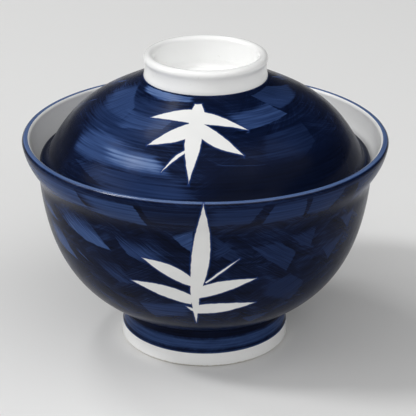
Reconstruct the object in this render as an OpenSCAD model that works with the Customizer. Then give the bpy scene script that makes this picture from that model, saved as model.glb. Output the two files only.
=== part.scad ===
// Lidded rice bowl in glazed porcelain. It has two loose parts, a footed bowl and a domed lid
// with a grip ring. A cobalt blue coat covers the outsides and leaves a bamboo spray bare on each.
// Millimetres, +Z up, origin at the centre of the foot ring on the table, front of the bowl at -Y.

/* [Bowl] */
// Outer diameter across the rim
rim_d = 128; // [126:1:132]
// Height of the rim above the table
bowl_h = 77.2; // [75:0.1:80]
// Height of the flared band below the rim
flare_h = 15.7; // [15.7:0.1:17]
// How far the rim stands out past the wall under the flare
flare_out = 5.7; // [5:0.1:5.7]
// Thickness of the wall under the flare
wall_t = 2.8; // [2.4:0.1:2.8]
// Thickness of the rounded lip
lip_t = 2.7; // [2.4:0.1:2.7]
// Thickness of the floor over the foot
floor_t = 4; // [3:0.1:5]

/* [Foot ring] */
// Outer diameter of the foot ring near the table
foot_d = 60.4; // [58:0.1:62]
// Height of the foot ring, from the table to the underside of the bowl
foot_h = 12; // [11:0.1:13]
// Thickness of the foot ring
foot_t = 4.2; // [3.5:0.1:5]
// Height of the bare white band round the bottom of the foot ring
foot_white_h = 5.2; // [4:0.1:7]

/* [Lid] */
// How far inside the rim the lid's turned-out edge lies
lid_inset = 6; // [6:0.1:7]
// How far below the rim the middle of the lid's edge lies
lid_drop = 9.1; // [8:0.1:9.1]
// Thickness of the lid's edge
lid_edge_t = 2.4; // [2.2:0.1:2.6]
// Height of the dome from the edge's middle to the foot of the grip ring
dome_h = 29.8; // [28:0.1:32]
// Thickness of the lid's wall
lid_t = 3; // [2.6:0.1:3.4]

/* [Grip ring] */
// Outer diameter of the grip ring at its rounded lip
ring_d = 43; // [41:0.1:44]
// Height of the grip ring above the dome
ring_h = 8.2; // [7:0.1:10]
// Thickness of the grip ring's lip
ring_t = 3.4; // [3:0.1:4]
// Depth of the hollow's floor below the foot of the grip ring
ring_sink = 2.4; // [1.5:0.1:3]

/* [Blue coat] */
// Thickness of the blue coat
coat_t = 0.3; // [0.2:0.05:0.4]
// Leave the bamboo sprays bare
bare_spray = true; // [true, false]

/* [Hidden] */
$fn = 96;

PORCELAIN = [0.93, 0.93, 0.91];
COBALT = [0.07, 0.12, 0.27];
CURVE_STEPS = 20; // straight steps along one curve of a wall's outline
LIP_STEPS = 8;    // straight steps round a rounded lip

rim_r = rim_d / 2;
wall_r = rim_r - flare_out;       // outside of the wall where the flare starts
flare_z = bowl_h - flare_h;       // height at which the flare starts
lip_r = lip_t / 2;
foot_r = foot_d / 2;
neck_r = foot_r - 0.8;            // narrow neck between the foot ring and the bowl
joint_h = 0.5;                    // upright stretch of the neck on each side of that joint
lid_r = rim_r - lid_inset;
lid_edge_z = bowl_h - lid_drop;
edge_r = lid_edge_t / 2;
ring_r = ring_d / 2;
dome_top_z = lid_edge_z + dome_h; // foot of the grip ring
ring_lip_r = ring_t / 2;
recess_r = ring_r - ring_t - 1;   // hollow inside the grip ring, at its foot

// One leaf: [root, tip, width, plumpness of the root from 0 to 0.6, sideways bow].
// The bowl's spray is drawn on the vertical plane X, Z in front of the bowl.
BOWL_LEAVES = [
    [[-2.8, 42.4], [-0.5, 76.4], 5.8, 0.2, -0.6],   // tall middle leaf
    [[-3.8, 44.8], [-20.4, 53.2], 4.6, 0.2, -0.7],  // upper left
    [[-4.2, 37.4], [-24, 43], 5, 0.27, -0.75],      // lower left
    [[-2.3, 40.6], [16.7, 45.7], 5, 0.33, 0.55],    // upper right
    [[-2.5, 33], [16.6, 34.8], 4.7, 0.35, 0],       // lower right
    [[0.6, 45.4], [11, 54.1], 0.75, 0.2, 0.15],     // thin twig
    [[-3.2, 46.5], [-2.7, 25.6], 2.9, 0.42, -0.1],  // stem
];
// The lid's spray is drawn on the level plane X, Y and lies on the front of the dome.
LID_LEAVES = [
    [[-3.3, -29.5], [-18, -26.9], 5.4, 0.5, 0],     // upper left
    [[-3.3, -29.8], [13.8, -33.3], 5.4, 0.55, 0.1], // upper right
    [[-3.4, -34.2], [-18.7, -37.7], 5.2, 0.33, 0.65], // lower left
    [[-1.9, -34.5], [12.3, -42.4], 5.1, 0.33, -1],  // lower right
    [[-3.2, -33], [-5.3, -49.9], 5.4, 0.25, 0],     // lower middle
    [[-6.4, -42.3], [-14, -46.4], 0.9, 0.3, -0.2],  // thin twig
    [[-2.4, -24.9], [-3.2, -38.5], 5.6, 0.13, 0],   // stem, cut off flat, widening into the leaves
];
LEAF_STEPS = 7; // straight steps along each side of a leaf

// Point at t, 0 to 1, on the curve that four points steer.
function bezier_at(p, t) =
    pow(1 - t, 3) * p[0] + 3 * pow(1 - t, 2) * t * p[1] + 3 * (1 - t) * t * t * p[2] + pow(t, 3) * p[3];
function bezier(p, steps = CURVE_STEPS) = [for (i = [0:steps]) bezier_at(p, i / steps)];
function arc(centre, r, from, to, steps = LIP_STEPS) =
    [for (i = [0:steps]) let (a = from + (to - from) * i / steps) centre + r * [cos(a), sin(a)]];
function reversed(list) = [for (i = [len(list) - 1:-1:0]) list[i]];
function unit(v) = v / norm(v);
// Outline moved sideways by t, to the left of its direction.
function shifted(line, t) = [
    for (i = [0:len(line) - 1])
        let (d = unit(line[min(i + 1, len(line) - 1)] - line[max(i - 1, 0)]))
            line[i] + t * [-d[1], d[0]]
];

// Outsides, as [radius, height], from the foot up and over the rim, and from the grip ring down.
bowl_wall = bezier([[neck_r + 0.6, foot_h + 2.3], [wall_r - 8.7, foot_h + 11.2],
                    [wall_r - 2, flare_z - 21.2], [wall_r, flare_z]]);
neck_fillet = concat([[neck_r, foot_h]],
                     bezier([[neck_r, foot_h + joint_h], [neck_r, foot_h + 1.5],
                             [neck_r + 0.2, foot_h + 2], [neck_r + 0.6, foot_h + 2.3]], 3));
flare = bezier([[wall_r, flare_z], [wall_r + 0.6, flare_z + 5.6],
                [rim_r - 1.2, flare_z + 6.8], [rim_r, bowl_h - lip_r]], 12);
lip_centre = [rim_r - lip_r, bowl_h - lip_r];
lip_outer = arc(lip_centre, lip_r, 0, 120, 6);
bowl_outside = concat(neck_fillet, [for (i = [1:CURVE_STEPS]) bowl_wall[i]],
                      [for (i = [1:12]) flare[i]], [for (i = [1:6]) lip_outer[i]]);
lip_inner = arc(lip_centre, lip_r, 120, 180, 4);
// Inside of the flare: the lid's edge comes down on this slope.
seat = bezier([[rim_r - lip_t, bowl_h - lip_r], [rim_r - 4, flare_z + 6.2],
               [wall_r - wall_t + 0.5, flare_z + 4.8], [wall_r - wall_t, flare_z - 0.5]], 12);
bowl_inside = bezier([[wall_r - wall_t, flare_z - 0.5], [wall_r - wall_t - 2.3, flare_z - 24],
                      [wall_r - 16, foot_h + floor_t + 1.4], [0, foot_h + floor_t]]);

edge_centre = [lid_r - edge_r, lid_edge_z];
dome = bezier([[ring_r - 0.1, dome_top_z], [ring_r + 13, dome_top_z - 7.8],
               [lid_r - 12.6, dome_top_z - 8.7], [lid_r - 3.4, lid_edge_z + 3.4]]);
edge_hollow = bezier([[lid_r - 3.4, lid_edge_z + 3.4], [lid_r - 2.8, lid_edge_z + 2],
                      [lid_r - 2.5, lid_edge_z + edge_r - 0.1], edge_centre + [0, edge_r]], 5);
edge_outer = arc(edge_centre, edge_r, 90, -20, 6);
lid_outside = concat(dome, [for (i = [1:5]) edge_hollow[i]], [for (i = [1:6]) edge_outer[i]]);
edge_inner = arc(edge_centre, edge_r, -20, -90, 4);
dome_inside = bezier([[lid_r - 5.8, lid_edge_z - edge_r + 0.6], [lid_r - 13, dome_top_z - 11.2],
                      [ring_r + 11, dome_top_z - 10.6], [ring_r - 4, dome_top_z - ring_sink - lid_t - 0.4]]);

module leaf(spec) {
    root = spec[0];
    along = spec[1] - root;
    across = unit([-along[1], along[0]]);
    half_w = function(t) spec[2] / 2 * sin(180 * (spec[3] + (1 - spec[3]) * t));
    bow = function(t) spec[4] * 4 * t * (1 - t);
    left = [for (i = [0:LEAF_STEPS - 1]) let (t = i / LEAF_STEPS)
            root + along * t + across * (bow(t) + half_w(t))];
    right = [for (i = [LEAF_STEPS - 1:-1:0]) let (t = i / LEAF_STEPS)
             root + along * t + across * (bow(t) - half_w(t))];
    polygon(concat(left, [spec[1]], right));
}

module spray(leaves) {
    union() for (spec = leaves) leaf(spec);
}

// Thin solid of revolution that lies under an outside line and is t thick.
module coat(line, t) {
    rotate_extrude() polygon(concat(line, reversed(shifted(line, t))));
}

module bowl_body() {
    under_coat = shifted(bowl_outside, coat_t);
    color(PORCELAIN) rotate_extrude()
        polygon(concat([[0, foot_h]], under_coat, [bowl_outside[len(bowl_outside) - 1]],
                       [for (i = [1:4]) lip_inner[i]], [for (i = [1:12]) seat[i]],
                       [for (i = [1:CURVE_STEPS]) bowl_inside[i]]));
}

foot_outside = concat(bezier([[foot_r - 0.3, foot_white_h], [neck_r, foot_white_h + 1.5],
                              [neck_r - 0.2, foot_h - 2], [neck_r, foot_h - joint_h]], 8),
                      [[neck_r, foot_h]]);

module foot_ring() {
    under_band = shifted(foot_outside, coat_t);
    color(PORCELAIN) rotate_extrude()
        polygon(concat([[foot_r - foot_t + 0.9, 0], [foot_r - 0.9, 0]],
                       arc([foot_r - 0.9, 0.9], 0.9, -60, 0, 3),
                       [foot_outside[0]], under_band,
                       [[foot_r - foot_t - 0.8, foot_h], [foot_r - foot_t, 0.9]]));
}

module bowl_blue_coat() {
    color(COBALT) difference() {
        coat(bowl_outside, coat_t);
        if (bare_spray)
            rotate([90, 0, 0]) linear_extrude(rim_r + 1) spray(BOWL_LEAVES);
    }
}

module foot_blue_band() {
    color(COBALT) coat(foot_outside, coat_t);
}

module lid_dome() {
    under_coat = shifted(lid_outside, -coat_t);
    recess_z = dome_top_z - ring_sink;
    color(PORCELAIN) rotate_extrude()
        polygon(concat([[0, recess_z]], arc([recess_r - 1.6, recess_z + 1.6], 1.6, -90, -10, 5),
                       [[recess_r, dome_top_z], lid_outside[0]], under_coat,
                       [lid_outside[len(lid_outside) - 1]], [for (i = [1:4]) edge_inner[i]],
                       dome_inside, [[0, dome_top_z - ring_sink - lid_t]]));
}

module lid_ring() {
    lip = [ring_r - ring_lip_r, dome_top_z + ring_h - ring_lip_r];
    color(PORCELAIN) rotate_extrude()
        polygon(concat([[recess_r, dome_top_z], lid_outside[0]],
                       bezier([[ring_r, dome_top_z + 0.4], [ring_r - 0.6, dome_top_z + 2.6],
                               [ring_r - 0.6, dome_top_z + 4.6], lip + ring_lip_r * [cos(-20), sin(-20)]], 6),
                       arc(lip, ring_lip_r, 0, 180, 10)));
}

module lid_blue_coat() {
    color(COBALT) difference() {
        coat(lid_outside, -coat_t);
        if (bare_spray)
            translate([0, 0, lid_edge_z + edge_r]) linear_extrude(dome_h) spray(LID_LEAVES);
    }
}

bowl_body();
foot_ring();
bowl_blue_coat();
foot_blue_band();
lid_dome();
lid_ring();
lid_blue_coat();
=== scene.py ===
"""Lidded rice bowl in glazed porcelain: the footed bowl and the domed lid with its grip ring.

Cobalt brushwork covers the outsides and leaves a bamboo spray bare on the front of each. The
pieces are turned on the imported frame's own sizes, in metres, +Z up, front of the bowl at -Y.
"""

import logging
import math
import random
from dataclasses import dataclass
from enum import Enum

import bpy
from mathutils import Matrix, Vector


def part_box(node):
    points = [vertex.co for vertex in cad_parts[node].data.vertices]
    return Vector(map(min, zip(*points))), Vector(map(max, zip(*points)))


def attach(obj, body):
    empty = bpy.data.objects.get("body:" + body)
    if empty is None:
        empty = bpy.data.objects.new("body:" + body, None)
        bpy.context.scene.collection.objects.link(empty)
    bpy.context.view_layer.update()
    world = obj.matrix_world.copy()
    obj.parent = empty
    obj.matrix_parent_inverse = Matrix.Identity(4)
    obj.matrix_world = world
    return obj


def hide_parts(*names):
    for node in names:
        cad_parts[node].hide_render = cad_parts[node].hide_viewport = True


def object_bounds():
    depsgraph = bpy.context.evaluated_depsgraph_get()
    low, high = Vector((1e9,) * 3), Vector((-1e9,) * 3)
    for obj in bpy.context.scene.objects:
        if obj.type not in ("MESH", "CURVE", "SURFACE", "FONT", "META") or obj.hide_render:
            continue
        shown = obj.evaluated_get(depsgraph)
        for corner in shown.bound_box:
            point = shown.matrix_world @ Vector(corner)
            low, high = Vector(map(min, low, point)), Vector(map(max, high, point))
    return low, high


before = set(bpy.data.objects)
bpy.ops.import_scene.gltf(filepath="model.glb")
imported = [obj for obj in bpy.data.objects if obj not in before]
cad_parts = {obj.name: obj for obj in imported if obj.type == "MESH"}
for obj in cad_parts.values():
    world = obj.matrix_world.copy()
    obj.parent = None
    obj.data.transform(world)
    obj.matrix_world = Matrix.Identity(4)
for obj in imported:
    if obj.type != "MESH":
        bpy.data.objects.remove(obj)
CAD_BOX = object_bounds()

log = logging.getLogger("rice_bowl")

MM = 0.001              # one millimetre in the scene's metres
TURN_SEGMENTS = 192     # facets round every turned piece
STEP_MM = 0.85          # spacing of the points along a turned outline
COAT_T = 0.3            # thickness of the blue coat
FAR = 100.0             # a distance that is outside everything, millimetres
SAME_POINT = 1e-4       # outline points nearer than this are one, millimetres
SAME_VERTEX = 1e-6      # vertices nearer than this are one, metres
SMOOTH_BELOW = 40.0     # angle between faces under which their edge is shaded smooth, degrees
BRUSH_MAP = "Brushwork"  # map that unrolls a coat: millimetres round it and along its outline
BAKE_MAP = "OFBake"     # map that the colours are baked through

Point = tuple[float, float]
Piece = bpy.types.Object
Socket = bpy.types.NodeSocket
Value = Socket | float | tuple  # what a node's input takes


# ---------------------------------------------------------------- outlines


def bezier(p0: Point, p1: Point, p2: Point, p3: Point) -> list[Point]:
    """Lays points along a cubic curve.

    Args:
        p0: Where the curve starts, as radius and height in millimetres.
        p1: First steering point.
        p2: Second steering point.
        p3: Where the curve ends.

    Returns:
        The points, about STEP_MM apart, with both ends.
    """
    reach = math.dist(p0, p1) + math.dist(p1, p2) + math.dist(p2, p3)
    steps = max(4, math.ceil(reach / STEP_MM))
    points = []
    for i in range(steps + 1):
        t = i / steps
        weights = ((1 - t) ** 3, 3 * (1 - t) ** 2 * t, 3 * (1 - t) * t * t, t ** 3)
        points.append(tuple(sum(w * p[k] for w, p in zip(weights, (p0, p1, p2, p3))) for k in (0, 1)))
    return points


def arc(centre: Point, radius: float, start: float, end: float, steps: int = 10) -> list[Point]:
    """Lays points along a round stretch.

    Args:
        centre: The arc's centre, as radius and height in millimetres.
        radius: The arc's radius in millimetres.
        start: Angle of the first point in degrees, 0 pointing away from the axis.
        end: Angle of the last point in degrees.
        steps: Number of straight steps.

    Returns:
        The points, with both ends.
    """
    angles = [math.radians(start + (end - start) * i / steps) for i in range(steps + 1)]
    return [(centre[0] + radius * math.cos(a), centre[1] + radius * math.sin(a)) for a in angles]


def line(start: Point, end: Point) -> list[Point]:
    """Lays points along a straight stretch, about twice STEP_MM apart, with both ends."""
    steps = max(1, math.ceil(math.dist(start, end) / (2 * STEP_MM)))
    return [tuple(a + (b - a) * i / steps for a, b in zip(start, end)) for i in range(steps + 1)]


def shifted(points: list[Point], distance: float) -> list[Point]:
    """Moves an outline sideways.

    Args:
        points: The outline.
        distance: How far to the left of its direction it moves, in millimetres.

    Returns:
        The moved outline.
    """
    moved = []
    last = len(points) - 1
    for i, (radius, height) in enumerate(points):
        before, after = points[max(i - 1, 0)], points[min(i + 1, last)]
        dr, dz = after[0] - before[0], after[1] - before[1]
        reach = math.hypot(dr, dz)
        moved.append((radius - distance * dz / reach, height + distance * dr / reach))
    return moved


def joined(*stretches: list[Point]) -> list[Point]:
    """Joins stretches of an outline end to end and drops points that coincide."""
    points: list[Point] = []
    for stretch in stretches:
        for point in stretch:
            if not points or math.dist(points[-1], point) > SAME_POINT:
                points.append(point)
    return points


@dataclass(frozen=True)
class Sizes:
    """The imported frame's own sizes in millimetres, which every outline is worked out from."""

    rim_r: float
    rim_z: float
    foot_r: float
    foot_z: float
    band_z: float
    lid_r: float
    edge_low_z: float
    dome_top_z: float
    ring_r: float
    ring_top_z: float

    @classmethod
    def from_frame(cls) -> "Sizes":
        """Reads the sizes off the CAD nodes' boxes."""
        top = {node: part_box(node)[1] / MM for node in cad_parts}
        low = {node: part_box(node)[0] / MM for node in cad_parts}
        return cls(
            rim_r=top["bowl_blue_coat"].x,
            rim_z=top["bowl_body"].z,
            foot_r=top["foot_ring"].x,
            foot_z=top["foot_ring"].z,
            band_z=low["foot_blue_band"].z,
            lid_r=top["lid_blue_coat"].x,
            edge_low_z=low["lid_dome"].z,
            dome_top_z=low["lid_ring"].z,
            ring_r=top["lid_ring"].x,
            ring_top_z=top["lid_ring"].z,
        )


# ---------------------------------------------------------------- turning


def deselect_all() -> None:
    """Leaves edit mode and clears the selection, so that an operator acts on new work alone."""
    if bpy.context.object is not None and bpy.context.object.mode != "OBJECT":
        bpy.ops.object.mode_set(mode="OBJECT")
    bpy.ops.object.select_all(action="DESELECT")


def start_point(name: str, place: Vector) -> Piece:
    """Starts a piece as one point, left over from a small plane, in edit mode.

    Args:
        name: The piece's name.
        place: Where the point lies, in metres.

    Returns:
        The new object, in edit mode with its point selected.
    """
    deselect_all()
    bpy.ops.mesh.primitive_plane_add(size=MM, location=place)
    piece = bpy.context.object
    piece.name = name
    piece.data.name = name
    bpy.ops.object.transform_apply(location=True, rotation=False, scale=False)
    bpy.ops.object.mode_set(mode="EDIT")
    bpy.ops.mesh.select_all(action="SELECT")
    bpy.ops.mesh.merge(type="CENTER")
    return piece


def turn(name: str, outline: list[Point], closed: bool) -> Piece:
    """Turns an outline round the Z axis into a closed solid, as on a potter's wheel.

    Args:
        name: The piece's name.
        outline: Radius and height of each point in millimetres.
        closed: Join the last point to the first; otherwise both ends lie on the axis.

    Returns:
        The finished piece, smooth, at the origin with its place in its mesh.
    """
    places = [Vector((radius * MM, 0, height * MM)) for radius, height in outline]
    piece = start_point(name, places[0])
    for before, after in zip(places, places[1:]):
        bpy.ops.mesh.extrude_vertices_move(TRANSFORM_OT_translate={"value": after - before})
    if closed:
        bpy.ops.object.mode_set(mode="OBJECT")
        for vertex in piece.data.vertices:
            vertex.select = min((vertex.co - end).length for end in (places[0], places[-1])) < SAME_VERTEX
        bpy.ops.object.mode_set(mode="EDIT")
        bpy.ops.mesh.edge_face_add()
    bpy.ops.mesh.select_all(action="SELECT")
    bpy.ops.mesh.spin(
        steps=TURN_SEGMENTS, angle=2 * math.pi, center=(0, 0, 0), axis=(0, 0, 1), use_auto_merge=True
    )
    bpy.ops.mesh.select_all(action="SELECT")
    bpy.ops.mesh.remove_doubles(threshold=SAME_VERTEX)
    bpy.ops.mesh.normals_make_consistent(inside=False)
    bpy.ops.object.mode_set(mode="OBJECT")
    bpy.ops.object.shade_smooth_by_angle(angle=math.radians(SMOOTH_BELOW))
    return piece


def angle_of(x: float, y: float) -> float:
    """Angle round the axis in radians: 0 at the front, positive to the right, the seam at the back."""
    return math.atan2(x, -y)


@dataclass
class CoatMap:
    """Unrolls a turned coat, for its brushwork and for baking.

    Attributes:
        outline: The closed outline, the outside first.
        outside_count: How many of its points are on the outside.
        reference_r: Radius in millimetres at which the brushwork map keeps true widths.
    """

    outline: list[Point]
    outside_count: int
    reference_r: float

    def lengths(self) -> list[float]:
        """Running length along the outline at each of its points, and once more back at the first."""
        run = [0.0]
        for before, after in zip(self.outline, self.outline[1:] + self.outline[:1]):
            run.append(run[-1] + math.dist(before, after))
        return run

    def apply(self, piece: Piece) -> None:
        """Writes both maps onto a turned coat.

        Args:
            piece: The turned coat, at the origin.
        """
        run = self.lengths()
        total, outside = run[-1], run[self.outside_count - 1]
        mesh = piece.data
        nearest = {}
        for i, (radius, height) in enumerate(self.outline):
            nearest[(round(radius, 2), round(height, 2))] = i
        row = []
        for vertex in mesh.vertices:
            radius, height = vertex.co.xy.length / MM, vertex.co.z / MM
            key = (round(radius, 2), round(height, 2))
            if key not in nearest:
                nearest[key] = min(
                    range(len(self.outline)), key=lambda i: math.dist(self.outline[i], (radius, height))
                )
            row.append(nearest[key])
        brush = mesh.uv_layers.new(name=BRUSH_MAP)
        bake = mesh.uv_layers.new(name=BAKE_MAP)
        for face in mesh.polygons:
            middle = angle_of(face.center.x, face.center.y)
            loops = list(face.loop_indices)
            along = [run[row[mesh.loops[i].vertex_index]] for i in loops]
            if max(along) - min(along) > total / 2:
                along = [length + total if length < total / 2 else length for length in along]
            for loop, length in zip(loops, along):
                co = mesh.vertices[mesh.loops[loop].vertex_index].co
                angle = angle_of(co.x, co.y)
                angle += 2 * math.pi * round((middle - angle) / (2 * math.pi))
                brush.data[loop].uv = (angle * self.reference_r, length)
                bake.data[loop].uv = self.bake_place(angle, middle, length, outside, total)

    @staticmethod
    def bake_place(angle: float, middle: float, length: float, outside: float, total: float) -> Point:
        """Place on the bake map: front half, back half above it, and a strip for the hidden inner side.

        Args:
            angle: Angle of the corner in radians.
            middle: Angle of its face's centre, which picks the half.
            length: Running length of the corner along the outline.
            outside: Length at which the outside ends.
            total: Whole length of the outline.

        Returns:
            The place, both numbers from 0 to 1.
        """
        margin, half, strip = 0.005, 0.455, 0.04
        inner = length > outside + SAME_POINT
        front = abs(middle) < math.pi / 2
        if front:
            across = (angle + math.pi / 2) / math.pi
        else:
            across = ((angle - math.pi / 2) % (2 * math.pi)) / math.pi
            if across > 1.5:
                across -= 2
        across = margin + (1 - 2 * margin) * across
        if inner:
            share = (length - outside) / (total - outside)
            base = 2 * (half + 2 * margin) + (0 if front else strip / 2)
            return (across, base + share * (strip / 2 - margin))
        base = margin if front else half + 3 * margin
        return (across, base + half * length / outside)


def turn_coat(name: str, outside: list[Point], inward: float, reference_r: float) -> Piece:
    """Turns a thin closed shell under an outside line and gives it its maps.

    Args:
        name: The piece's name.
        outside: The outside line in millimetres.
        inward: How far to the left of its direction the inner side lies; negative for the right.
        reference_r: Radius in millimetres at which the brushwork map keeps true widths.

    Returns:
        The coat.
    """
    outline = outside + shifted(outside, inward)[::-1]
    coat = turn(name, outline, closed=True)
    CoatMap(outline, len(outside), reference_r).apply(coat)
    return coat


# ---------------------------------------------------------------- material nodes

NOISE_RANGE = (0.3, 0.7)  # range that nearly all of a noise's values lie in

class Desk:
    """Lays out nodes in a tree and hands back their output sockets."""

    def __init__(self, tree: bpy.types.NodeTree) -> None:
        """Takes the tree to work in."""
        self.tree = tree

    def feed(self, socket: Socket, value: Value) -> None:
        """Links or sets an input.

        Args:
            socket: The input.
            value: An output to link to it, or a plain value; a colour of three numbers is made opaque.
        """
        if isinstance(value, Socket):
            self.tree.links.new(value, socket)
        else:
            socket.default_value = (*value, 1) if socket.type == "RGBA" and len(value) == 3 else value

    def make(self, kind: str, inputs: dict[int | str, Value], **settings: object) -> bpy.types.Node:
        """Adds a node, sets its own properties and feeds its inputs.

        Args:
            kind: The node's type.
            inputs: What each input takes, under its number or name.
            **settings: The node's own properties, such as operation.

        Returns:
            The node.
        """
        made = self.tree.nodes.new(kind)
        for key, value in settings.items():
            setattr(made, key, value)
        for key, value in inputs.items():
            self.feed(made.inputs[key], value)
        return made

    def math(self, operation: str, a: Value, b: Value = 0.0, c: Value = 0.0) -> Socket:
        """Adds a Math node and returns its result."""
        return self.make("ShaderNodeMath", {0: a, 1: b, 2: c}, operation=operation).outputs[0]

    def vector(self, operation: str, a: Value, b: Value = (0, 0, 0)) -> Socket:
        """Adds a Vector Math node and returns its vector, or its number for a dot product."""
        made = self.make("ShaderNodeVectorMath", {0: a, 1: b}, operation=operation)
        return made.outputs["Value" if operation == "DOT_PRODUCT" else "Vector"]

    def vector_sum(self, a: Value, factor: Value, b: Value) -> Socket:
        """Returns a times factor plus b, all vectors."""
        made = self.make("ShaderNodeVectorMath", {0: a, 1: factor, 2: b}, operation="MULTIPLY_ADD")
        return made.outputs["Vector"]

    def split(self, vector: Value) -> tuple[Socket, ...]:
        """Returns a vector's three numbers."""
        return tuple(self.make("ShaderNodeSeparateXYZ", {0: vector}).outputs)

    def combine(self, x: Value, y: Value, z: Value) -> Socket:
        """Returns a vector made of three numbers."""
        return self.make("ShaderNodeCombineXYZ", {0: x, 1: y, 2: z}).outputs[0]

    def step(self, value: Value, low: Value, high: Value) -> Socket:
        """Rises smoothly from 0 at low to 1 at high."""
        inputs = {0: value, 1: low, 2: high}
        return self.make("ShaderNodeMapRange", inputs, interpolation_type="SMOOTHSTEP").outputs["Result"]

    def spread(self, value: Value, low: float, high: float, given: Point = NOISE_RANGE) -> Socket:
        """Maps the given range, by default a noise's, evenly onto low to high."""
        inputs = {0: value, 1: given[0], 2: given[1], 3: low, 4: high}
        return self.make("ShaderNodeMapRange", inputs).outputs["Result"]

    def noise(self, place: Value, size: float, detail: float = 2.0) -> bpy.types.Node:
        """Adds a noise whose grains are about size across; its outputs are Fac and Color."""
        return self.make("ShaderNodeTexNoise", {"Vector": place, "Scale": 1 / size, "Detail": detail})

    def grains(self, place: Value, size: float, detail: float = 2.0) -> Socket:
        """Noise from 0 to 1 whose grains are about size across."""
        return self.noise(place, size, detail).outputs["Fac"]

    def wander(self, place: Value, size: float) -> Socket:
        """Vector noise from -0.5 to 0.5 each way, to shift a place by."""
        return self.vector("SUBTRACT", self.noise(place, size).outputs["Color"], (0.5, 0.5, 0.5))

    def streaks(self, place: Value, angle: float, along: float, across: float) -> Socket:
        """Noise drawn out into brush hairs.

        Args:
            place: Place on the surface in millimetres.
            angle: Direction of the hairs in degrees.
            along: Length of a hair line in millimetres.
            across: Spacing of the hair lines in millimetres.

        Returns:
            The noise, 0 to 1.
        """
        turned = (0, 0, math.radians(angle))
        inputs = {"Vector": place, "Rotation": turned, "Scale": (along, across, 1)}
        return self.grains(self.make("ShaderNodeMapping", inputs, vector_type="TEXTURE").outputs[0], 1.0, 3.0)

    def blend(self, share: Value, a: Value, b: Value) -> Socket:
        """Mixes two numbers by a share from 0 to 1."""
        return self.make("ShaderNodeMix", {0: share, 2: a, 3: b}, data_type="FLOAT").outputs[0]

    def blend_colour(self, share: Value, a: Value, b: Value) -> Socket:
        """Mixes two colours by a share from 0 to 1."""
        return self.make("ShaderNodeMix", {0: share, 6: a, 7: b}, data_type="RGBA").outputs[2]

    def ramp(self, value: Value, stops: tuple[tuple[float, tuple], ...]) -> Socket:
        """Turns a number into a colour.

        Args:
            value: The number, 0 to 1.
            stops: Numbers in rising order and the linear colour at each.

        Returns:
            The colour.
        """
        made = self.make("ShaderNodeValToRGB", {0: value})
        elements = made.color_ramp.elements
        while len(elements) < len(stops):
            elements.new(0.5)
        for element, (place, colour) in zip(elements, stops):
            element.position = place
            element.color = (*colour, 1)
        return made.outputs[0]

    def group(self, tree: bpy.types.NodeTree, inputs: dict[str, Value]) -> Socket:
        """Adds a node group, feeds its inputs by name and returns its only output."""
        return self.make("ShaderNodeGroup", inputs, node_tree=tree).outputs[0]


class GroupDesk(Desk):
    """Lays out a node group that a material uses many times."""

    def __init__(self, name: str, output: str, numbers: list[str], vectors: list[str]) -> None:
        """Starts a group.

        Args:
            name: The group's name.
            output: Name of its one output, a number.
            numbers: Names of the inputs that are numbers.
            vectors: Names of the inputs that are vectors.
        """
        super().__init__(bpy.data.node_groups.new(name, "ShaderNodeTree"))
        for names, kind in ((numbers, "NodeSocketFloat"), (vectors, "NodeSocketVector")):
            for each in names:
                self.tree.interface.new_socket(each, in_out="INPUT", socket_type=kind)
        self.tree.interface.new_socket(output, in_out="OUTPUT", socket_type="NodeSocketFloat")
        self.given = self.make("NodeGroupInput", {}).outputs

    def end(self, value: Value) -> bpy.types.NodeTree:
        """Feeds the output and returns the group's tree."""
        self.make("NodeGroupOutput", {0: value})
        return self.tree


class MaterialDesk(Desk):
    """Lays out one material."""

    def __init__(self, name: str) -> None:
        """Starts an empty material.

        Args:
            name: The material's name.
        """
        self.material = bpy.data.materials.new(name)
        self.material.use_nodes = True
        super().__init__(self.material.node_tree)
        self.tree.nodes.clear()

    def object_place(self) -> Socket:
        """Place on the piece in millimetres, in the row frame."""
        coordinates = self.make("ShaderNodeTexCoord", {})
        return self.vector("MULTIPLY", coordinates.outputs["Object"], (1 / MM, 1 / MM, 1 / MM))

    def unrolled_place(self) -> Socket:
        """Place on a coat's brushwork map in millimetres: round it, and along its outline."""
        return self.make("ShaderNodeUVMap", {}, uv_map=BRUSH_MAP).outputs[0]

    def bump(self, height: Value, distance: float) -> Socket:
        """Tilts the surface by a height from 0 to 1 that is worth distance in metres."""
        inputs = {"Strength": 1.0, "Distance": distance, "Height": height}
        return self.make("ShaderNodeBump", inputs).outputs[0]

    def finish(self, **sockets: Value) -> bpy.types.Material:
        """Ends the material in a Principled shader.

        Args:
            **sockets: The shader's inputs, with _ for a space, such as Base_Color.

        Returns:
            The material.
        """
        inputs = {key.replace("_", " "): value for key, value in sockets.items()}
        shader = self.make("ShaderNodeBsdfPrincipled", inputs)
        self.make("ShaderNodeOutputMaterial", {"Surface": shader.outputs[0]})
        return self.material


# ---------------------------------------------------------------- finishes


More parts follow.
